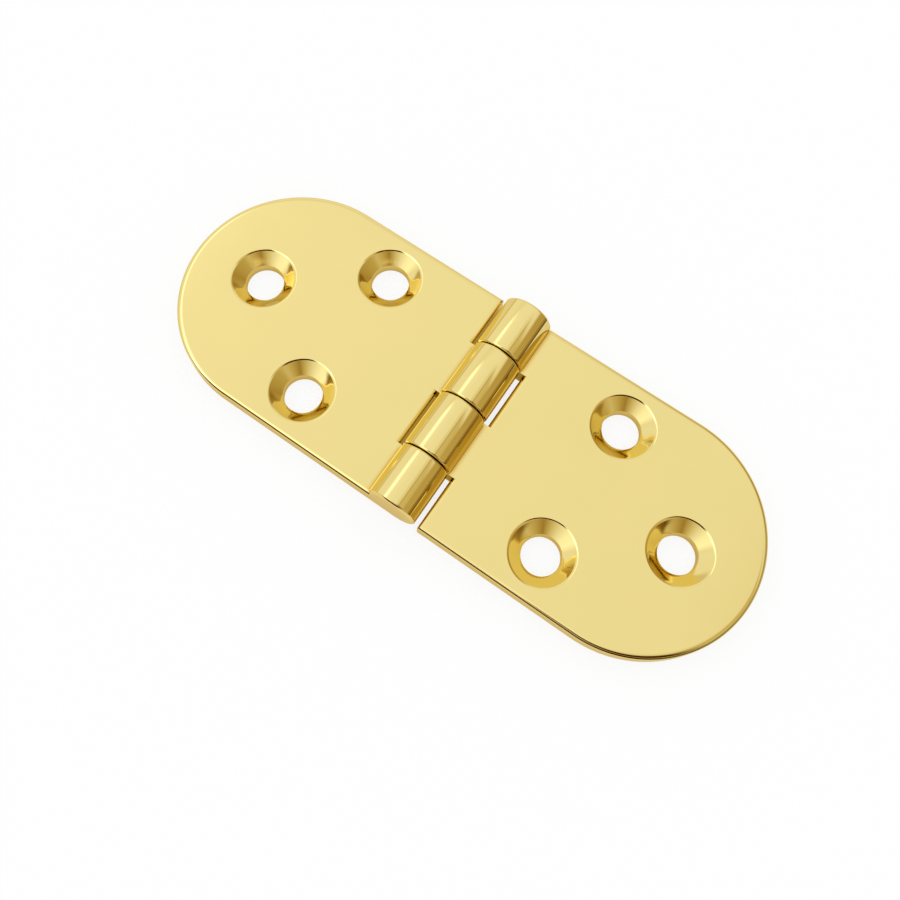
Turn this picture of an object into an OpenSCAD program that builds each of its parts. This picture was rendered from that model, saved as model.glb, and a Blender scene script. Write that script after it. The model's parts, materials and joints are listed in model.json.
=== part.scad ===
// Flap-table butt hinge with half-round leaves, lying open and flat.
// Frame: X along the length, Y along the pin, Z up from the leaves' backs. Origin under the middle of the pin.

/* [Leaf] */
// Width of each leaf, measured along the pin
leaf_w = 30; // [26:0.5:40]
// Length of each leaf from the pin's axis to its round tip
leaf_l = 40; // [38:0.5:60]
// Thickness of each leaf
leaf_t = 2.8; // [2.2:0.1:3]
// Radius of the polished round along the leaf's edges
edge_r = 0.4; // [0.2:0.05:0.6]

/* [Barrel] */
// Outside diameter of the knuckles
barrel_d = 6.5; // [6.2:0.1:7.5]
// Diameter of the hinge pin
pin_d = 3.2; // [2.6:0.1:3.8]
// Pitch of the two inner knuckles along the pin
inner_pitch = 7.8; // [7:0.05:8.5]
// Gap between neighbouring knuckles
knuckle_gap = 0.14; // [0.1:0.02:0.4]
// Radius of the round on the knuckles' end edges
knuckle_edge_r = 0.3; // [0.1:0.05:0.4]
// Radial gap between a knuckle and the notch that clears it
notch_gap = 0.5; // [0.4:0.05:1.2]
// Radial running clearance of the pin in the swinging leaf
pin_clearance = 0.05; // [0.03:0.01:0.1]

/* [Screw holes] */
// Diameter of the screw holes
hole_d = 4.8; // [4:0.1:5.2]
// Diameter of the countersink at the leaf's face
head_d = 8.1; // [7.6:0.1:8.6]
// Included angle of the countersink
head_angle = 90; // [85:1:100]
// Distance from the pin's axis to the pair of holes
pair_x = 17.3; // [16:0.1:19]
// Spacing of the pair of holes along the pin
pair_pitch = 18.4; // [16:0.1:20]
// Distance from the pin's axis to the single hole near the tip
tip_x = 30.4; // [29:0.1:32]

/* [Hidden] */
$fn = 96;
brass = "#E8D18A";

half_w = leaf_w / 2;
barrel_r = barrel_d / 2;
pin_r = pin_d / 2;
end_x = leaf_l - half_w;           // centre of the half-round end
notch_x = barrel_r + notch_gap;    // wall of the notches, from the pin's axis
cone_h = (head_d - hole_d) / 2 / tan(head_angle / 2);
through = 1;                       // how far a cut runs past the faces that it opens

// Own knuckles of a leaf, as [start, end] along the pin: one at its end and one on the inside.
knuckles = [
    [inner_pitch + knuckle_gap / 2, half_w],
    [-inner_pitch + knuckle_gap / 2, -knuckle_gap / 2],
];

// Rectangle from the origin with its corners on the side away from x = 0 rounded.
module outer_rounded(w, h, r) {
    square([w - r, h]);
    translate([0, r]) square([w, h - 2 * r]);
    for (y = [r, h - r]) translate([w - r, y]) circle(r);
}

// Section of a leaf across its width: flat faces and rounded long edges.
module leaf_section() {
    for (side = [0, 1]) mirror([side, 0]) outer_rounded(half_w, leaf_t, edge_r);
}

// Leaf section drawn out along X between two places.
module leaf_bar(x0, x1) {
    translate([x0, 0, 0]) rotate([90, 0, 90]) linear_extrude(x1 - x0) leaf_section();
}

// Plate from the notch wall to the half-round end, with the edge along the notches rounded too.
module plate() {
    intersection() {
        leaf_bar(notch_x, end_x);
        translate([end_x, half_w, 0]) rotate([90, 0, 0]) linear_extrude(leaf_w)
            mirror([1, 0]) outer_rounded(end_x - notch_x, leaf_t, edge_r);
    }
    translate([end_x, 0, 0]) rotate(-90) rotate_extrude(angle = 180) outer_rounded(half_w, leaf_t, edge_r);
}

// Stretch of the leaf that runs from the plate into one knuckle. Its back is tangent to the barrel.
module web(span) {
    intersection() {
        leaf_bar(0, notch_x + 2 * edge_r);
        translate([0, span[0], -through]) cube([leaf_l, span[1] - span[0], leaf_t + 2 * through]);
    }
}

// One knuckle: a cylinder about the pin's axis with both end edges rounded.
module knuckle(span) {
    l = span[1] - span[0];
    translate([0, span[1], barrel_r]) rotate([90, 0, 0]) rotate_extrude()
        union() {
            square([barrel_r - knuckle_edge_r, l]);
            translate([0, knuckle_edge_r]) square([barrel_r, l - 2 * knuckle_edge_r]);
            for (z = [knuckle_edge_r, l - knuckle_edge_r])
                translate([barrel_r - knuckle_edge_r, z]) circle(knuckle_edge_r);
        }
}

// Countersunk screw hole, open at both faces.
module screw_hole() {
    translate([0, 0, -through]) cylinder(h = leaf_t + 2 * through, d = hole_d);
    translate([0, 0, leaf_t - cone_h]) cylinder(h = cone_h, d1 = hole_d, d2 = head_d);
    translate([0, 0, leaf_t]) cylinder(h = through, d = head_d);
}

// One leaf with its two knuckles, drawn on the +X side.
module leaf(bore_r) {
    difference() {
        union() {
            plate();
            for (span = knuckles) {
                web(span);
                knuckle(span);
            }
        }
        translate([0, half_w + through, barrel_r]) rotate([90, 0, 0])
            cylinder(h = leaf_w + 2 * through, r = bore_r);
        for (side = [-1, 1]) translate([pair_x, side * pair_pitch / 2, 0]) screw_hole();
        translate([tip_x, 0, 0]) screw_hole();
    }
}

module left_leaf() {
    color(brass) rotate(180) leaf(pin_r);
}

module right_leaf() {
    color(brass) leaf(pin_r + pin_clearance);
}

// Pin through all four knuckles: a press fit in the left leaf, flush with the barrel's ends.
module pin() {
    color(brass) translate([0, half_w, barrel_r]) rotate([90, 0, 0]) cylinder(h = leaf_w, r = pin_r);
}

left_leaf();
right_leaf();
pin();
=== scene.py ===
"""Polished brass flap hinge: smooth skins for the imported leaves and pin, and a studio to light them."""
import json
import math

import bmesh
import bpy
import numpy as np
from bpy.props import FloatProperty, FloatVectorProperty, PointerProperty
from mathutils import Matrix, Vector
from mathutils.geometry import delaunay_2d_cdt, tessellate_polygon


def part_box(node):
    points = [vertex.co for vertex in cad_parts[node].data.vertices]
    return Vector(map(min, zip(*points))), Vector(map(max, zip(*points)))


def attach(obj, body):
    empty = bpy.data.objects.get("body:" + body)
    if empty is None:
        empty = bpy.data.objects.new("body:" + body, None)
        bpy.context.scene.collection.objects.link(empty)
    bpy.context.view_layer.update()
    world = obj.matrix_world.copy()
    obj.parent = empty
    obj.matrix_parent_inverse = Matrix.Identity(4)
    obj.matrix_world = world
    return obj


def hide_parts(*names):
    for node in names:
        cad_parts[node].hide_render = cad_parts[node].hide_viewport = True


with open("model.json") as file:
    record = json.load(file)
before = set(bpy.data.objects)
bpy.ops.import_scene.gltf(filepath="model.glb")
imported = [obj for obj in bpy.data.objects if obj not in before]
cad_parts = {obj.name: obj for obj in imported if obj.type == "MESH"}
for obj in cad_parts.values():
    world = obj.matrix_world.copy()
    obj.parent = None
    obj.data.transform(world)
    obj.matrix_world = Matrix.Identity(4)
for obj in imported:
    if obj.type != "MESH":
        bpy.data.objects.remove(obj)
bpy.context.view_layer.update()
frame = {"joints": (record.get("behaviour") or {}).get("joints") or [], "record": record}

bl_info = {
    "name": "Flap Hinge",
    "version": (1, 0, 0),
    "blender": (4, 5, 0),
    "location": "View3D > Sidebar > Hinge",
    "description": "Smooth skins, polished brass and studio light for a flap hinge",
    "category": "Object",
}

MM = 0.001

# Steps along the curves of the skins and the stage
ARC_STEPS = 4
TIP_STEPS = 128
HOLE_STEPS = 128
KNUCKLE_STEPS = 160
END_STEPS = 6
BORE_STEPS = 64
TENT_STEPS = (64, 128)
FLOOR_STEPS = 64
# Flat strip beside a round, so that the flat face keeps its own normal
HOLD = 0.03 * MM
# Points closer than this become one point
MERGE = 0.0002 * MM
# Triangulation inside its bounding edges, as the fill's library numbers its kinds of output
INSIDE = 1
# Edges that turn by more than this stay sharp
SHARP = math.radians(28)
# Factors of x, y and z that turn a leaf half a turn about the vertical
HALF_TURN = (-1, -1, 1)

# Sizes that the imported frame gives; the pin's axis lies one barrel radius above the leaves' backs
MOUNTS = {mount["name"]: mount for mount in frame["record"]["mounts"]}
LEAF_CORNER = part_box("right_leaf")[1]
PIN_LOW, PIN_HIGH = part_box("pin")
LEAF_LENGTH = LEAF_CORNER.x
HALF_WIDTH = LEAF_CORNER.y
BARREL_RADIUS = frame["joints"][0]["pos_m"][2]
PIN_RADIUS = (PIN_HIGH.z - PIN_LOW.z) / 2
PAIR_X = MOUNTS["right_pair"]["pos_m"][0]
PAIR_Y = MOUNTS["right_pair"]["dims"]["spacing_y_mm"] * MM / 2
TIP_X = MOUNTS["right_tip"]["pos_m"][0]
HOLE_RADIUS = MOUNTS["right_tip"]["dims"]["r_mm"] * MM


def linear(code):
    """Linear red, green and blue of an sRGB hex code, by the sRGB formula."""
    parts = np.array([int(code[i:i + 2], 16) for i in (1, 3, 5)]) / 255
    return tuple(np.where(parts <= 0.04045, parts / 12.92, ((parts + 0.055) / 1.055) ** 2.4).tolist())


class HingeSizes(bpy.types.PropertyGroup):
    """Sizes of the hinge that the frame's boxes and mounts don't give."""

    leaf_thickness: FloatProperty(
        name="Leaf thickness", description="Thickness of each leaf",
        default=2.8 * MM, unit="LENGTH", precision=5)
    edge_round: FloatProperty(
        name="Edge round", description="Radius along the leaf's edges",
        default=0.4 * MM, unit="LENGTH", precision=5)
    inner_pitch: FloatProperty(
        name="Knuckle pitch", description="Pitch of the two inner knuckles",
        default=7.8 * MM, unit="LENGTH", precision=5)
    seam_gap: FloatProperty(
        name="Seam", description="Gap between neighbouring knuckles",
        default=0.14 * MM, unit="LENGTH", precision=5)
    knuckle_round: FloatProperty(
        name="Knuckle round", description="Radius on the knuckles' end edges",
        default=0.3 * MM, unit="LENGTH", precision=5)
    notch_gap: FloatProperty(
        name="Notch gap", description="Radial gap between a knuckle and its notch",
        default=0.5 * MM, unit="LENGTH", precision=5)
    pin_clearance: FloatProperty(
        name="Pin clearance", description="Radial running clearance of the pin in the right leaf",
        default=0.05 * MM, unit="LENGTH", precision=5)
    head_diameter: FloatProperty(
        name="Countersink", description="Diameter of the countersinks at the face",
        default=8.1 * MM, unit="LENGTH", precision=5)
    rim_round: FloatProperty(
        name="Rim round", description="Radius on the countersinks' rims",
        default=0.3 * MM, unit="LENGTH", precision=5)
    land_round: FloatProperty(
        name="Land round", description="Radius where a countersink meets its hole",
        default=0.22 * MM, unit="LENGTH", precision=5)


class HingeFinish(bpy.types.PropertyGroup):
    """Colour and polish of the brass."""

    brass: FloatVectorProperty(
        name="Brass", description="Colour that the polished brass mirrors white with",
        default=linear("#EEDB92"), size=3, min=0, max=1, subtype="COLOR")
    roughness: FloatProperty(
        name="Roughness", description="Blur of the polish",
        default=0.06, min=0, max=1, subtype="FACTOR")
    edge_tint: FloatVectorProperty(
        name="Edge tint", description="Tint of what the brass mirrors at a grazing angle",
        default=linear("#FFF4D2"), size=3, min=0, max=1, subtype="COLOR")
    # Reach of the painted shade in tight corners: how far the search for a corner that hides the sky looks
    corner_shade_reach: FloatProperty(
        name="Corner reach", description="How far from a tight corner the wheel can't reach",
        default=0.8 * MM, unit="LENGTH", precision=5)
    wave_length: FloatProperty(
        name="Buffing waves", description="Length of the soft waves that buffing leaves",
        default=7 * MM, unit="LENGTH", precision=5)
    wave_height: FloatProperty(
        name="Wave height", description="Height of the buffing waves",
        default=0.002 * MM, unit="LENGTH", precision=7)


class StudioSettings(bpy.types.PropertyGroup):
    """Camera, floor and light tent."""

    lens: FloatProperty(
        name="Lens", description="Focal length in mm on a 36 mm sensor", default=40)
    tilt: FloatProperty(
        name="Tilt", description="Lean of the view from straight down",
        default=math.radians(22.06), subtype="ANGLE")
    heading: FloatProperty(
        name="Heading", description="Turn of the view about the vertical",
        default=math.radians(29.68), subtype="ANGLE")
    roll: FloatProperty(
        name="Roll", description="Turn about the line of sight",
        default=math.radians(4.90), subtype="ANGLE")
    aim: FloatVectorProperty(
        name="Aim", description="Point on the floor at the middle of the lens",
        default=(-6.8 * MM, 7.49 * MM), size=2, subtype="XYZ", unit="LENGTH")
    distance: FloatProperty(
        name="Distance", description="From the aim to the camera", default=127.3 * MM, unit="LENGTH")
    rise: FloatProperty(
        name="Rise", description="Vertical lens shift, as a share of the frame", default=-0.122)
    floor: FloatVectorProperty(
        name="Floor", description="Colour of the floor",
        default=linear("#FCFCFC"), size=3, min=0, max=1, subtype="COLOR")
    shadow: FloatProperty(
        name="Shadow", description="Share of the object's shadow that shows on the floor",
        default=0.15, min=0, max=1, subtype="FACTOR")
    tent_radius: FloatProperty(
        name="Tent radius", description="Radius of the light tent", default=0.6, unit="LENGTH")


# Upper edge of a leaf as the buffing wheel leaves it: turn in degrees at the end of each arc, and the arc's
# radius as a share of the edge round. It rolls off slowly, turns fast, is nearly flat at the corner and
# turns into the wall.
ROLL = ((22, 3.0), (45, 0.4), (50, 7.5), (90, 0.35))
# Points of an edge section from its hold to the foot of the roll
ROLL_POINTS = len(ROLL) * ARC_STEPS + 2
# Slope in degrees of the countersinks' cone at the rim and at the land, and of the hole's wall
CONE_SLOPES = (45, 39)
WALL_SLOPE = 90
# Rim of a countersink, broken with a deburring tool: slope at the end of each arc, and its radius as a share
# of the rim round
RIM_ROLL = ((24, 1.0), (37, 3.2), (45, 1.0))


def full_turn(steps):
    """Angles at even steps round a full turn, without its end, which is its start again."""
    return np.linspace(0, 2 * np.pi, steps, endpoint=False)


def arc_chain(arcs):
    """Run and drop along arcs that follow on from each other, each given as its last slope and its radius.

    The first starts level, and slopes are in degrees. Each arc adds its radius times the change of the
    slope's sine to the run, and times the change of its cosine to the drop, whether the slope grows along it
    or falls.
    """
    runs, drops = [0.0], [0.0]
    start = 0.0
    for degrees, radius in arcs:
        slope = np.radians(np.linspace(start, degrees, ARC_STEPS + 1))
        runs += (runs[-1] + radius * np.abs(np.sin(slope[1:]) - np.sin(slope[0]))).tolist()
        drops += (drops[-1] + radius * np.abs(np.cos(slope[0]) - np.cos(slope[1:]))).tolist()
        start = degrees
    return np.array(runs), np.array(drops)


def edge_roll(sizes):
    """Inset and drop along the rolled upper edge, from the face to the wall.

    The inset is what is left of the run.
    """
    run, drop = arc_chain([(degrees, share * sizes.edge_round) for degrees, share in ROLL])
    return run[-1] - run, drop


def back_rise(sizes, inset):
    """Height of a leaf's back over its plane at an inset from the outline: a quarter arc."""
    left = np.clip(sizes.edge_round - inset, 0, sizes.edge_round)
    return sizes.edge_round - np.sqrt(sizes.edge_round ** 2 - left ** 2)


def edge_section(sizes):
    """Section of a leaf's rim as inset and height.

    It follows the flat hold, the rolled upper edge and the wall, and the quarter arc and hold at the back.
    """
    inset, drop = edge_roll(sizes)
    inset = np.concatenate([[inset[0] + HOLD], inset])
    upper = sizes.leaf_thickness - np.concatenate([[0], drop])
    face = np.stack([inset, upper], axis=1)
    back = np.stack([inset, back_rise(sizes, inset)], axis=1)
    return np.concatenate([face, back[::-1]])


def sweep(places, inward, section):
    """Carries a section along a path in plan: each point is the place plus inset times inward direction."""
    plan = places[:, None, :] + section[None, :, :1] * inward[:, None, :]
    height = np.broadcast_to(section[None, :, 1:], plan.shape[:2] + (1,))
    return np.concatenate([plan, height], axis=2)


def revolve(section, centre):
    """Turns a section of radius and height about the vertical through a centre in plan."""
    turn = full_turn(HOLE_STEPS)
    circle = np.stack([np.cos(turn), np.sin(turn)], axis=1)
    plan = np.array(centre) + section[:, None, :1] * circle[None, :, :]
    height = np.broadcast_to(section[:, None, 1:], plan.shape[:2] + (1,))
    return np.concatenate([plan, height], axis=2)


def hole_section(sizes):
    """Section of a screw hole: flat hold, broken rim, cone, round edge, and the straight land below it.

    The cone is dished: its slope falls a little from the rim to the land. Its radius of curvature is what
    takes up the run that the rim and the edge at the land leave. The rim begins so far out that the cone,
    drawn on up, would reach the face at the head's radius.
    """
    thick = sizes.leaf_thickness
    steep, flat = np.radians(CONE_SLOPES)
    rim = [(degrees, share * sizes.rim_round) for degrees, share in RIM_ROLL]
    run, drop = arc_chain(rim)
    start = sizes.head_diameter / 2 + run[-1] - drop[-1] / math.tan(steep)
    spare = start - run[-1] - HOLE_RADIUS - sizes.land_round * (1 - math.sin(flat))
    dish = spare / (math.sin(steep) - math.sin(flat))
    run, drop = arc_chain(rim + [(CONE_SLOPES[1], dish), (WALL_SLOPE, sizes.land_round)])
    wall = np.stack([start - run, thick - drop], axis=1)
    return np.concatenate([[[start + HOLD, thick]], wall, [[HOLE_RADIUS, 0]]])


def eased_radius(sizes, depth):
    """Knuckle radius at a depth from its end: a quarter arc that eases into the full radius."""
    round_r = sizes.knuckle_round
    inside = np.clip(round_r - depth, 0, round_r)
    return BARREL_RADIUS - round_r + np.sqrt(round_r ** 2 - inside ** 2)


def knuckle_stations(sizes, start, end, at_edge):
    """Places along the pin with the knuckle's radius and its web's top and back heights at each.

    Inside ends ease in by the knuckle's own round. An end at the leaf's side follows the leaf's rolled edge
    instead: there the web's top falls by the roll's drop, the barrel by what the roll drops after its first
    slow arc, and the back rises by its quarter arc.
    """
    thick = sizes.leaf_thickness
    ease = sizes.knuckle_round * (1 - np.cos(np.linspace(0, np.pi / 2, END_STEPS + 1)))
    first = start + ease
    if at_edge:
        inset, height = edge_section(sizes)[:ROLL_POINTS].T
        last = end - inset
        fall = thick - height
        rise = back_rise(sizes, inset)
    else:
        last = end - ease[::-1]
        fall = np.zeros(len(last))
        rise = fall
    place = np.concatenate([first, last])
    fall = np.concatenate([np.zeros(len(first)), fall])
    rise = np.concatenate([np.zeros(len(first)), rise])
    radius = eased_radius(sizes, place - start)
    if at_edge:
        slow_drop = edge_roll(sizes)[1][ARC_STEPS]
        radius = radius - np.clip(fall - slow_drop, 0, None)
    else:
        radius = np.minimum(radius, eased_radius(sizes, end - place))
    return place, radius, thick - fall, rise


def knuckle_skin(place, radius, top, back, shoulder):
    """Knuckle and web as a section carried along the pin.

    Each section runs in along the web's top, round the barrel from where the top plane cuts it to the foot
    of the barrel, and out along the back. Every station has its own radius and heights, so the ends come
    out rounded.
    """
    axis = BARREL_RADIUS
    cut_x = np.sqrt(radius ** 2 - (axis - top) ** 2)
    foot_x = np.sqrt(np.clip(radius ** 2 - (axis - back) ** 2, 0, None))
    foot_z = np.where(radius >= axis - back, back, axis - radius)
    begin = np.arctan2(top - axis, cut_x)
    finish = 2 * np.pi + np.arctan2(foot_z - axis, foot_x)
    share = np.linspace(0, 1, KNUCKLE_STEPS + 1)
    angle = begin[:, None] + (finish - begin)[:, None] * share[None, :]
    x = radius[:, None] * np.cos(angle)
    z = axis + radius[:, None] * np.sin(angle)
    out = np.full(len(place), shoulder)
    x = np.column_stack([out, x, foot_x, foot_x + HOLD, out])
    z = np.column_stack([top, z, back, back, back])
    y = np.broadcast_to(place[:, None], x.shape)
    return np.stack([x, y, z], axis=2)


def bore_ring(radius, place):
    """Circle about the pin's axis at a place along it."""
    turn = full_turn(BORE_STEPS)
    x = radius * np.cos(turn)
    z = BARREL_RADIUS + radius * np.sin(turn)
    return np.stack([x, np.full(BORE_STEPS, place), z], axis=1)


def leaf_rim(sizes, shoulder, notch_x, stop):
    """Rim of a leaf: along one side, round the half-round end, back along the other and up the end notch.

    The section follows the outline. Where side and notch meet, the inward direction is the diagonal, so they
    mitre.
    """
    end_x = LEAF_LENGTH - HALF_WIDTH
    turn = np.linspace(np.pi / 2, -np.pi / 2, TIP_STEPS + 1)
    spoke = np.stack([np.cos(turn), np.sin(turn)], axis=1)
    tip = np.array([end_x, 0]) + HALF_WIDTH * spoke
    places = np.concatenate([[[shoulder, HALF_WIDTH]], tip, [[notch_x, -HALF_WIDTH], [notch_x, stop]]])
    inward = np.concatenate([[[0, -1]], -spoke, [[1, 1], [1, 0]]])
    return sweep(places, inward, edge_section(sizes))


def leaf_patches(sizes, bore_radius):
    """Grids, faces in plan and knuckle ends that close one leaf, drawn on the +X side."""
    notch_x = BARREL_RADIUS + sizes.notch_gap
    shoulder = notch_x + edge_section(sizes)[0, 0]
    half_gap = sizes.seam_gap / 2
    outer = (sizes.inner_pitch + half_gap, HALF_WIDTH)
    inner = (half_gap - sizes.inner_pitch, -half_gap)
    rim = leaf_rim(sizes, shoulder, notch_x, inner[0])
    notch_places = np.array([[notch_x, inner[1]], [notch_x, outer[0]]])
    notch = sweep(notch_places, np.array([[1.0, 0], [1, 0]]), edge_section(sizes))
    outer_skin = knuckle_skin(*knuckle_stations(sizes, *outer, True), shoulder)
    inner_skin = knuckle_skin(*knuckle_stations(sizes, *inner, False), shoulder)
    centres = [(PAIR_X, PAIR_Y), (PAIR_X, -PAIR_Y), (TIP_X, 0)]
    holes = [revolve(hole_section(sizes), centre) for centre in centres]
    bores = {place: bore_ring(bore_radius, place) for place in outer + inner}

    grids = [(rim, False), (notch, False), (outer_skin, False), (inner_skin, False)]
    grids += [(hole, True) for hole in holes]
    grids += [(np.stack([bores[start], bores[end]]), True) for start, end in (outer, inner)]

    def face_loop(row):
        """Outline of the plate's face or back, from the rim, the knuckles and the notch in turn."""
        beside_inner = inner_skin[1:-1, row]
        beside_outer = outer_skin[1:END_STEPS + 1, row]
        return np.concatenate([rim[:, row], beside_inner, notch[:, row], beside_outer])

    flats = [[face_loop(row)] + [hole[row] for hole in holes] for row in (0, -1)]
    # An edge section's points between its two holds, from the back up
    upwards = slice(-2, 0, -1)
    ends = [
        [outer_skin[-1], bores[outer[1]]],
        [np.concatenate([outer_skin[0], notch[-1, upwards]]), bores[outer[0]]],
        [np.concatenate([inner_skin[-1], notch[0, upwards]]), bores[inner[1]]],
        [np.concatenate([inner_skin[0], rim[-1, upwards]]), bores[inner[0]]],
    ]
    return grids, flats, ends


def pin_patches():
    """Grid that closes the pin: a circle carried along its axis, with its middle at each end."""
    stations = [(0, PIN_LOW.y), (PIN_RADIUS, PIN_LOW.y), (PIN_RADIUS, PIN_HIGH.y), (0, PIN_HIGH.y)]
    rings = [bore_ring(radius, place) for radius, place in stations]
    return [(np.stack(rings), True)], [], []


def grid_faces(grid, closed):
    """Four-sided faces of a grid of points, by index; a closed grid joins its last column to its first."""
    rows, columns = grid.shape[:2]
    index = np.arange(rows * columns).reshape(rows, columns)
    if closed:
        index = np.concatenate([index, index[:, :1]], axis=1)
    corners = [index[:-1, :-1], index[:-1, 1:], index[1:, 1:], index[1:, :-1]]
    return np.stack(corners, axis=-1).reshape(-1, 4)


def fill_face(loops):
    """Triangles over a leaf's face or back, given as its outline and the circles cut out of it.

    It is triangulated in plan, in millimetres, between its edges, and cleared of the triangles whose middle
    lies in one of the circles.
    """
    plane = np.concatenate(loops)[:, :2] / MM
    stops = np.cumsum([0] + [len(loop) for loop in loops])
    edges = []
    for first, last in zip(stops[:-1], stops[1:]):
        edges += list(zip(range(first, last), [*range(first + 1, last), first]))
    filled = delaunay_2d_cdt([Vector(point) for point in plane], edges, [], INSIDE, MERGE / MM)
    corners, sources = filled[2:4]
    source = np.array([ids[0] for ids in sources])
    triangles = source[np.array(corners)]
    middle = plane[triangles].mean(axis=1)
    keep = np.ones(len(triangles), dtype=bool)
    for first, last in zip(stops[1:-1], stops[2:]):
        circle = plane[first:last]
        centre = circle.mean(axis=0)
        inside = np.linalg.norm((circle[0] + circle[1]) / 2 - centre)
        keep &= np.linalg.norm(middle - centre, axis=1) > inside
    return triangles[keep]


def fill_end(loops):
    """Triangles over a knuckle's flat end, given as its outline and its bore."""
    return np.array(tessellate_polygon([list(map(Vector, loop)) for loop in loops]))


def close_mesh(name, grids, faces_in_plan, ends, turned=False):
    """One closed, smooth mesh from grids of points and from flat faces given as an outline and its holes."""
    points, faces, count = [], [], 0
    for grid, closed in grids:
        faces += (grid_faces(grid, closed) + count).tolist()
        points.append(grid.reshape(-1, 3))
        count += len(points[-1])
    fills = [(fill_face, loops) for loops in faces_in_plan] + [(fill_end, loops) for loops in ends]
    for fill, loops in fills:
        faces += (fill(loops) + count).tolist()
        points += loops
        count += sum(map(len, loops))
    points = np.concatenate(points)
    if turned:
        points = points * HALF_TURN
    mesh = bpy.data.meshes.new(name)
    mesh.from_pydata(points.tolist(), [], faces)
    work = bmesh.new()
    work.from_mesh(mesh)
    bmesh.ops.remove_doubles(work, verts=work.verts, dist=MERGE)
    bmesh.ops.dissolve_degenerate(work, edges=work.edges, dist=MERGE)
    bmesh.ops.recalc_face_normals(work, faces=work.faces)
    open_edges = sum(not edge.is_manifold for edge in work.edges)
    work.to_mesh(mesh)
    work.free()
    if open_edges:
        raise RuntimeError(f"{name} has {open_edges} open edges")
    mesh.shade_smooth()
    mesh.set_sharp_from_angle(angle=SHARP)
    return mesh


def add(tree, kind, inputs=None, **settings):
    """Adds one node with its settings; an input that is a socket is linked, any other is set."""
    node = tree.nodes.new(kind)
    for key, value in settings.items():
        setattr(node, key, value)
    for key, value in (inputs or {}).items():
        if isinstance(value, bpy.types.NodeSocket):
            tree.links.new(value, node.inputs[key])
        else:
            node.inputs[key].default_value = value
    return node


def new_material(name):
    """A material whose node tree is still empty, and that tree."""
    material = bpy.data.materials.new(name)
    material.use_nodes = True
    material.node_tree.nodes.clear()
    return material, material.node_tree


def hex_stops(stops):
    """Stops of a colour ramp with their hex codes turned to linear colours."""
    return [(place, (*linear(code), 1)) for place, code in stops]


def spread_stops(ramp, stops):
    """Sets a colour ramp's stops from places between 0 and 1, and colours."""
    while len(ramp.elements) < len(stops):
        ramp.elements.new(1)
    for element, (place, colour) in zip(ramp.elements, stops):
        element.position = place
        element.color = colour


# Sockets of a Mix node that mixes colours: its share, its two colours, and its result
SHARE, FIRST, SECOND, MIXED = 0, 6, 7, 2
# Span of a noise's values that is spread over the whole of a range
NOISE_SPAN = (0.3, 0.7)
# Buffing haze: length of its streaks along X, how many times finer it is along X, Y and Z, the detail and
# roughness of its noise, and the factors on the polish's roughness that it runs between
HAZE_LENGTH = 4 * MM
HAZE_FINER = (1, 12, 1)
HAZE_DETAIL = 4.0
HAZE_GRAIN = 0.6
HAZE_SPREAD = (0.75, 1.25)
# Buffing waves: detail of their noise, and the factor on the brass's colour in their hollows
WAVE_DETAIL = 1.0
WAVE_TONE = 0.985
# Painted shade in tight corners, darker and browner where a corner hides the open sky: share of open sky
# over a spot, and the tint there
CORNER_PAINTED_SHADE = ((0.2, "#BE9C5C"), (0.5, "#CBAA6A"), (0.75, "#F3EAD2"), (0.92, "#FFFFFF"))
CORNER_SHADE_SAMPLES = 8


def polished_brass(name, finish):
    """Brass, cast and buffed to a mirror: a pale gold mirror with faint soft waves and finer buffing haze.

    Tight corners get painted shade: the brass's colour is darker and browner where little open sky is over
    them.
    """
    material, tree = new_material(name)
    low, high = NOISE_SPAN
    coords = add(tree, "ShaderNodeTexCoord").outputs["Object"]
    waves = add(tree, "ShaderNodeTexNoise", {
        "Vector": coords, "Scale": 1 / finish.wave_length, "Detail": WAVE_DETAIL})
    stretch = add(tree, "ShaderNodeMapping", {"Vector": coords, "Scale": HAZE_FINER})
    haze = add(tree, "ShaderNodeTexNoise", {
        "Vector": stretch.outputs[0], "Scale": 1 / HAZE_LENGTH,
        "Detail": HAZE_DETAIL, "Roughness": HAZE_GRAIN})
    rough = add(tree, "ShaderNodeMapRange", {
        "Value": haze.outputs[0], "From Min": low, "From Max": high,
        "To Min": finish.roughness * HAZE_SPREAD[0], "To Max": finish.roughness * HAZE_SPREAD[1]})
    tone = add(tree, "ShaderNodeMapRange", {
        "Value": waves.outputs[0], "From Min": low, "From Max": high, "To Min": WAVE_TONE, "To Max": 1.0})
    gold = add(tree, "ShaderNodeVectorMath", {
        0: (*finish.brass,), "Scale": tone.outputs[0]}, operation="SCALE")
    # Painted shade: the brass's colour darkens and browns where a corner hides the open sky
    sky = add(tree, "ShaderNodeAmbientOcclusion", {
        "Distance": finish.corner_shade_reach}, samples=CORNER_SHADE_SAMPLES, only_local=True)
    skin = add(tree, "ShaderNodeValToRGB", {"Fac": sky.outputs["AO"]})
    spread_stops(skin.color_ramp, hex_stops(CORNER_PAINTED_SHADE))
    tint = add(tree, "ShaderNodeVectorMath", {0: gold.outputs[0], 1: skin.outputs[0]}, operation="MULTIPLY")
    bump = add(tree, "ShaderNodeBump", {
        "Height": waves.outputs[0], "Distance": finish.wave_height, "Strength": 1.0})
    shader = add(tree, "ShaderNodeBsdfPrincipled", {
        "Base Color": tint.outputs[0], "Metallic": 1.0, "Roughness": rough.outputs[0],
        "Normal": bump.outputs[0], "Specular Tint": (*finish.edge_tint, 1)})
    add(tree, "ShaderNodeOutputMaterial", {"Surface": shader.outputs[0]})
    return material


def put_in_scene(name, data):
    """Adds an object with that name and data to the scene, at the origin."""
    thing = bpy.data.objects.new(name, data)
    bpy.context.scene.collection.objects.link(thing)
    return thing


def place_piece(name, mesh, material, body, node):
    """Puts a finished skin in the scene, on its body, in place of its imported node."""
    mesh.materials.append(material)
    piece = put_in_scene(name, mesh)
    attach(piece, body)
    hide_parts(node)


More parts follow.
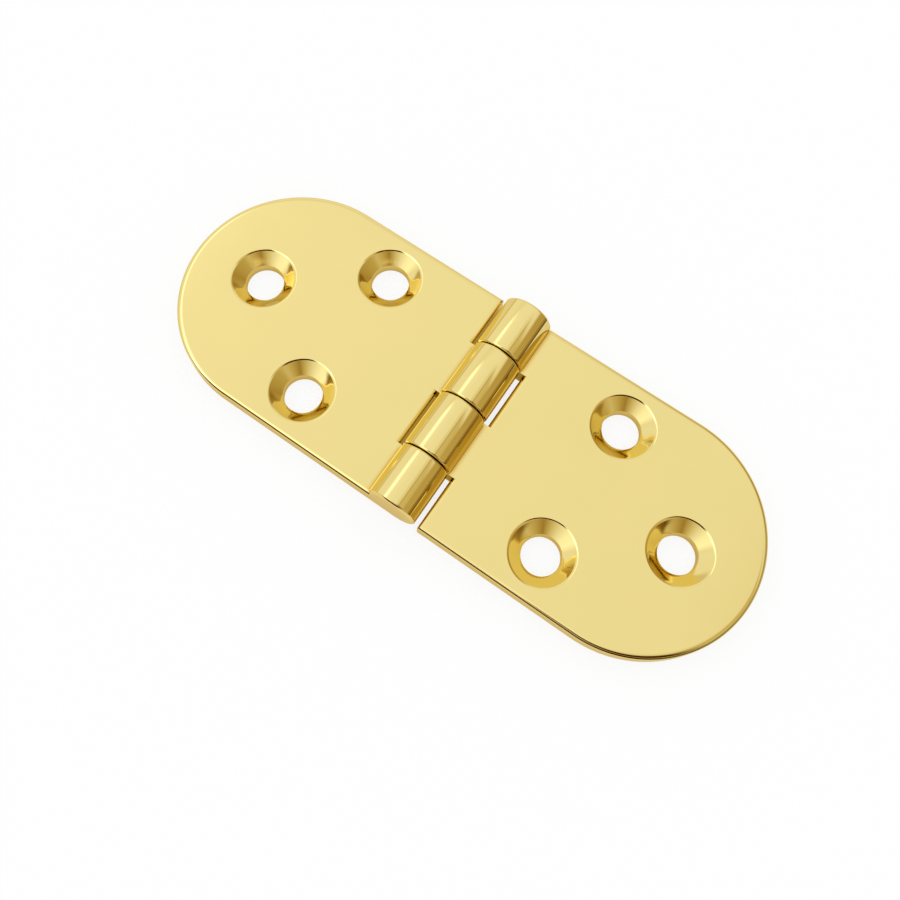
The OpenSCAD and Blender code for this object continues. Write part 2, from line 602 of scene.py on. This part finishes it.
class HINGE_OT_leaves(bpy.types.Operator):
    """Both leaves, each one closed skin with its knuckles, notches and countersunk holes"""

    bl_idname = "hinge.leaves"
    bl_label = "Leaves"

    def execute(self, context):
        sizes = context.scene.hinge_sizes
        material = polished_brass("polished_brass_mirror", context.scene.hinge_finish)
        left = leaf_patches(sizes, PIN_RADIUS)
        right = leaf_patches(sizes, PIN_RADIUS + sizes.pin_clearance)
        mesh = close_mesh("left_leaf_skin", *left, turned=True)
        place_piece("left_leaf_skin", mesh, material, "fixed_leaf", "left_leaf")
        mesh = close_mesh("right_leaf_skin", *right)
        place_piece("right_leaf_skin", mesh, material, "swinging_leaf", "right_leaf")
        return {"FINISHED"}


class HINGE_OT_pin(bpy.types.Operator):
    """Pin through the four knuckles, ground flush with the barrel's ends"""

    bl_idname = "hinge.pin"
    bl_label = "Pin"

    def execute(self, context):
        material = polished_brass("pin_brass_mirror", context.scene.hinge_finish)
        mesh = close_mesh("pin_skin", *pin_patches())
        place_piece("pin_skin", mesh, material, "fixed_leaf", "pin")
        return {"FINISHED"}


# Light tent overhead: angle from straight up towards +X in degrees, and how bright the panels are there.
# This table and the four like it below run as far under 0 as over it.
OVERHEAD = (
    (-90, 0.80), (-72, 0.89), (-58, 1.0), (-46, 1.02), (-42, 1.5), (-38, 2.05), (-34, 1.6), (-30, 1.12),
    (-27, 1.05), (-14, 1.02), (0, 0.995), (12, 0.99), (18, 0.91), (24, 0.85), (27, 0.80), (28, 0.52),
    (30, 0.52), (31, 0.72), (50, 0.69), (62, 0.57), (70, 0.47), (78, 0.37), (90, 0.25),
)
# Light tent overhead towards +Y, behind the barrel: the same angle, and how bright the rear panel is there
REAR = (
    (-90, 0.80), (-60, 0.92), (-42, 0.95), (-28, 0.98), (-15, 1.0), (20, 1.0), (45, 0.94), (70, 0.86),
    (90, 0.75),
)
# Light tent overhead: angle from straight up towards -Y in degrees, and the factor on the panels' light
FORE = (
    (-90, 0.88), (-46, 0.92), (-26, 1.0), (8, 1.0), (20, 1.1), (30, 1.75), (42, 1.75), (58, 1.0), (90, 1.0),
)
# Angle towards -Y over which the overhead panels give way to the rear panel
REAR_FROM = (-21, -28)
# Light tent near the floor: heading from +X towards +Y in degrees, and how bright the panels are there
SKIRT = (
    (-180, 0.98), (-164, 1.0), (-148, 0.98), (-131, 1.30), (-113, 1.20), (-94, 0.97), (-74, 0.72),
    (-54, 0.40), (-34, 0.58), (-14, 0.72), (4, 0.58), (22, 0.54), (39, 0.50), (54, 0.44), (80, 0.55),
    (98, 0.95), (120, 0.98), (180, 0.98),
)
# Dark room under the tent's hem: heading from +X towards +Y in degrees, and how bright it is there
HEM = (
    (-180, 0.70), (-164, 0.60), (-145, 0.35), (-120, 0.10), (-90, 0.05), (-57, 0.04), (-20, 0.12),
    (10, 0.34), (39, 0.42), (54, 0.20), (80, 0.40), (98, 0.75), (120, 0.80), (180, 0.75),
)
# Rise in degrees over which the hem gives way to the skirt, and the skirt to the overhead panels
HEM_TOP = (7, 12)
SKIRT_TOP = (32, 44)
# The tent's opening for the camera: heading of its middle, its half width at full light and at full dark,
# and the rises over which it begins and ends, all in degrees, and how bright it is
OPENING = -57
OPENING_HALF = (56, 34)
OPENING_RISE = ((37, 42), (60, 68))
OPENING_LEVEL = 0.05
# Power of a dim panel's level that its red, green and blue have
CARD_WARMTH = (1.0, 1.45, 2.9)
# Painted shade on the floor as the metal mirrors it: share of open sky over a spot, and its colour there in
# the hinge's shade
SHADED_FLOOR = ((0.0, "#98844E"), (0.25, "#B8A472"), (0.5, "#D8CAAC"), (0.85, "#F2ECDE"))
SHADE_REACH = 8 * MM
SHADE_SAMPLES = 8
# Floor closer to the leaves than this is given the open floor's pale colour, painted light under the leaves
# where they shade it
TOUCH_REACH = 0.1 * MM
# The floor that the metal mirrors has its glow painted darker towards the right, for darker reflections
# there: the direction in plan,
# # the distance along it over which it fades, and how bright it is beyond
PAPER_TOWARDS = (1, 0.3, 0)
PAPER_EDGE = (44 * MM, 60 * MM)
PAPER_BEYOND = 0.10
# The floor lies this far under the leaves, and reaches out to this many radii of the tent
FLOOR_DROP = 0.03 * MM
FLOOR_REACH = 2
# Width of the camera's sensor in mm, and how near to it the view begins
SENSOR = 36
CLIP_START = 1 * MM


def panel_colour(level):
    """A panel's colour: white where it is bright, and warmer the dimmer it is, as card in shade is."""
    if level >= 1:
        return (level, level, level, 1)
    return (*(level ** power for power in CARD_WARMTH), 1)


def tent_material(radius):
    """White and warm card panels lit evenly, which only the polished metal sees.

    From the floor up, the dark room under the hem gives way to the skirt, and the skirt to the panels
    overhead. The dark opening for the camera is laid over them. A rise is taken as a height: the radius
    times its sine.
    """
    material, tree = new_material("tent_panels")
    material.cycles.emission_sampling = "NONE"
    coords = add(tree, "ShaderNodeTexCoord").outputs["Object"]
    x, y, z = add(tree, "ShaderNodeSeparateXYZ", {0: coords}).outputs
    front = add(tree, "ShaderNodeMath", {0: y, 1: -1.0}, operation="MULTIPLY").outputs[0]
    tables = ((x, z, OVERHEAD), (x, z, REAR), (front, z, FORE), (y, x, SKIRT), (y, x, HEM))
    angles = []
    panels = []
    for along, across, table in tables:
        span = table[-1][0]
        angle = add(tree, "ShaderNodeMath", {0: along, 1: across}, operation="ARCTAN2").outputs[0]
        place = add(tree, "ShaderNodeMapRange", {
            "Value": angle, "From Min": -math.radians(span), "From Max": math.radians(span)})
        ramp = add(tree, "ShaderNodeValToRGB", {"Fac": place.outputs[0]})
        stops = [((turn + span) / (2 * span), panel_colour(level)) for turn, level in table]
        spread_stops(ramp.color_ramp, stops)
        angles.append(angle)
        panels.append(ramp.outputs[0])
    overhead, rear, fore, skirt, hem = panels
    forward, heading = angles[2:4]
    aside = add(tree, "ShaderNodeMath", {0: heading, 1: math.radians(OPENING)}, operation="SUBTRACT")
    aside = add(tree, "ShaderNodeMath", {0: aside.outputs[0]}, operation="ABSOLUTE").outputs[0]
    limits = [(forward, np.radians(REAR_FROM)), (aside, np.radians(OPENING_HALF))]
    limits += [(z, radius * np.sin(np.radians(rise))) for rise in (HEM_TOP, SKIRT_TOP, *OPENING_RISE)]
    shares = []
    for value, (start, end) in limits:
        share = add(tree, "ShaderNodeMapRange", {
            "Value": value, "From Min": start, "From Max": end}, interpolation_type="SMOOTHSTEP")
        shares.append(share.outputs[0])
    behind, within, over_hem, over_skirt, over_sill, over_lintel = shares
    mix = add(tree, "ShaderNodeMix", {SHARE: behind, FIRST: overhead, SECOND: rear}, data_type="RGBA")
    lit = add(tree, "ShaderNodeVectorMath", {0: mix.outputs[MIXED], 1: fore}, operation="MULTIPLY")
    top = lit.outputs[0]
    band = add(tree, "ShaderNodeMath", {0: over_sill, 1: over_lintel}, operation="SUBTRACT").outputs[0]
    opening = add(tree, "ShaderNodeMath", {0: within, 1: band}, operation="MULTIPLY").outputs[0]
    light = hem
    for share, layer in ((over_hem, skirt), (over_skirt, top), (opening, panel_colour(OPENING_LEVEL))):
        mix = add(tree, "ShaderNodeMix", {SHARE: share, FIRST: light, SECOND: layer}, data_type="RGBA")
        light = mix.outputs[MIXED]
    glow = add(tree, "ShaderNodeEmission", {"Color": light, "Strength": 1.0})
    add(tree, "ShaderNodeOutputMaterial", {"Surface": glow.outputs[0]})
    return material


def floor_material(studio):
    """White paper sweep, which the camera sees pale and even, with a share of the object's shadow on it.

    The metal sees it as a glow instead: pale, with painted shade that is darker and warmer where the hinge
    keeps the light off it but pale right under the leaves, and painted darker towards the right.
    """
    material, tree = new_material("floor_paper")
    material.cycles.emission_sampling = "NONE"
    path = add(tree, "ShaderNodeLightPath").outputs
    rays = {0: path["Is Camera Ray"], 1: path["Is Transmission Ray"]}
    seen = add(tree, "ShaderNodeMath", rays, operation="MAXIMUM").outputs[0]
    share = add(tree, "ShaderNodeMath", {0: seen, 1: 1 - studio.shadow}, operation="MULTIPLY").outputs[0]
    paper = add(tree, "ShaderNodeBsdfDiffuse", {"Color": (*studio.floor, 1)})
    clear = add(tree, "ShaderNodeBsdfTransparent")
    plain = add(tree, "ShaderNodeMixShader", {0: share, 1: paper.outputs[0], 2: clear.outputs[0]})
    stops = hex_stops(SHADED_FLOOR)
    open_floor = stops[-1][1]
    # Painted shade: the floor's glow darkens and warms where the hinge hides the open sky
    sky = add(tree, "ShaderNodeAmbientOcclusion", {"Distance": SHADE_REACH}, samples=SHADE_SAMPLES)
    shade = add(tree, "ShaderNodeValToRGB", {"Fac": sky.outputs["AO"]})
    spread_stops(shade.color_ramp, stops)
    # Painted light: right under the leaves the floor's glow keeps the open floor's pale colour
    apart = add(tree, "ShaderNodeAmbientOcclusion", {"Distance": TOUCH_REACH}, samples=SHADE_SAMPLES)
    colours = {SHARE: apart.outputs["AO"], FIRST: open_floor, SECOND: shade.outputs[0]}
    colour = add(tree, "ShaderNodeMix", colours, data_type="RGBA").outputs[MIXED]
    # Painted darkness in the reflections: the floor's glow fades towards the right
    coords = add(tree, "ShaderNodeTexCoord").outputs["Object"]
    away = add(tree, "ShaderNodeVectorMath", {0: coords, 1: PAPER_TOWARDS}, operation="DOT_PRODUCT")
    fade = add(tree, "ShaderNodeMapRange", {
        "Value": away.outputs["Value"], "From Min": PAPER_EDGE[0], "From Max": PAPER_EDGE[1],
        "To Min": 1.0, "To Max": PAPER_BEYOND})
    glow = add(tree, "ShaderNodeEmission", {"Color": colour, "Strength": fade.outputs[0]})
    surface = add(tree, "ShaderNodeMixShader", {
        0: path["Is Glossy Ray"], 1: plain.outputs[0], 2: glow.outputs[0]})
    add(tree, "ShaderNodeOutputMaterial", {"Surface": surface.outputs[0]})
    return material


def disc_grid(radius, height):
    """Flat disc: radius by angle, with the middle as its first ring."""
    turn = full_turn(FLOOR_STEPS)
    rings = np.array([0, radius])[:, None]
    x = rings * np.cos(turn)
    y = rings * np.sin(turn)
    return np.stack([x, y, np.full(x.shape, height)], axis=2)


def dome_grid(radius):
    """Half sphere: rise from the floor to the top by heading all the way round."""
    rise = np.linspace(0, np.pi / 2, TENT_STEPS[0])[:, None]
    turn = full_turn(TENT_STEPS[1])[None, :]
    x = np.cos(rise) * np.cos(turn)
    y = np.cos(rise) * np.sin(turn)
    return radius * np.stack([x, y, np.broadcast_to(np.sin(rise), x.shape)], axis=2)


def stage_piece(name, grid, material):
    """Puts one grid of the stage in the scene, closed round its last direction."""
    mesh = bpy.data.meshes.new(name)
    mesh.from_pydata(grid.reshape(-1, 3).tolist(), [], grid_faces(grid, True).tolist())
    mesh.materials.append(material)
    piece = put_in_scene(name, mesh)
    return piece


def make_camera(studio):
    """Camera leaning back from straight down, turned to the heading and rolled about its line of sight."""
    lean, turn = studio.tilt, studio.heading
    back = Vector((math.sin(turn) * math.sin(lean), -math.cos(turn) * math.sin(lean), math.cos(lean)))
    right = Vector((math.cos(turn), math.sin(turn), 0))
    up = back.cross(right)
    across = right * math.cos(studio.roll) + up * math.sin(studio.roll)
    above = back.cross(across)
    data = bpy.data.cameras.new("camera")
    data.lens = studio.lens
    data.sensor_width = SENSOR
    data.shift_y = studio.rise
    data.clip_start = CLIP_START
    camera = put_in_scene("camera", data)
    camera.matrix_world = Matrix((across, above, back)).transposed().to_4x4()
    camera.location = Vector((*studio.aim, 0)) + back * studio.distance
    bpy.context.scene.camera = camera


class HINGE_OT_stage(bpy.types.Operator):
    """Camera, white floor, white world and the light tent that the metal mirrors"""

    bl_idname = "hinge.stage"
    bl_label = "Stage"

    def execute(self, context):
        scene, studio = context.scene, context.scene.hinge_studio
        make_camera(studio)
        floor = disc_grid(FLOOR_REACH * studio.tent_radius, -FLOOR_DROP)
        stage_piece("floor", floor, floor_material(studio))
        tent = stage_piece("light_tent", dome_grid(studio.tent_radius), tent_material(studio.tent_radius))
        tent.visible_camera = False
        tent.visible_diffuse = False
        tent.visible_transmission = False
        tent.visible_shadow = False
        world = bpy.data.worlds.new("white_room")
        world.use_nodes = True
        white = world.node_tree.nodes["Background"].inputs
        white["Color"].default_value = (1, 1, 1, 1)
        white["Strength"].default_value = 1.0
        scene.world = world
        scene.view_settings.view_transform = "Standard"
        return {"FINISHED"}


class HINGE_PT_panel(bpy.types.Panel):
    """Sizes, finish and studio of the hinge, with a button for each step"""

    bl_idname = "HINGE_PT_panel"
    bl_label = "Flap Hinge"
    bl_space_type = "VIEW_3D"
    bl_region_type = "UI"
    bl_category = "Hinge"

    def draw(self, context):
        for group in (context.scene.hinge_sizes, context.scene.hinge_finish, context.scene.hinge_studio):
            box = self.layout.box()
            for name in group.__annotations__:
                box.prop(group, name)
        for operator in (HINGE_OT_leaves, HINGE_OT_pin, HINGE_OT_stage):
            self.layout.operator(operator.bl_idname)


CLASSES = (
    HingeSizes, HingeFinish, StudioSettings,
    HINGE_OT_leaves, HINGE_OT_pin, HINGE_OT_stage, HINGE_PT_panel,
)


def register():
    for cls in CLASSES:
        bpy.utils.register_class(cls)
    bpy.types.Scene.hinge_sizes = PointerProperty(type=HingeSizes)
    bpy.types.Scene.hinge_finish = PointerProperty(type=HingeFinish)
    bpy.types.Scene.hinge_studio = PointerProperty(type=StudioSettings)


def unregister():
    del bpy.types.Scene.hinge_studio
    del bpy.types.Scene.hinge_finish
    del bpy.types.Scene.hinge_sizes
    for cls in reversed(CLASSES):
        bpy.utils.unregister_class(cls)


def main():
    """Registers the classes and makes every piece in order."""
    register()
    bpy.ops.hinge.leaves()
    bpy.ops.hinge.pin()
    bpy.ops.hinge.stage()
    bpy.context.view_layer.update()


if __name__ == "__main__":
    main()
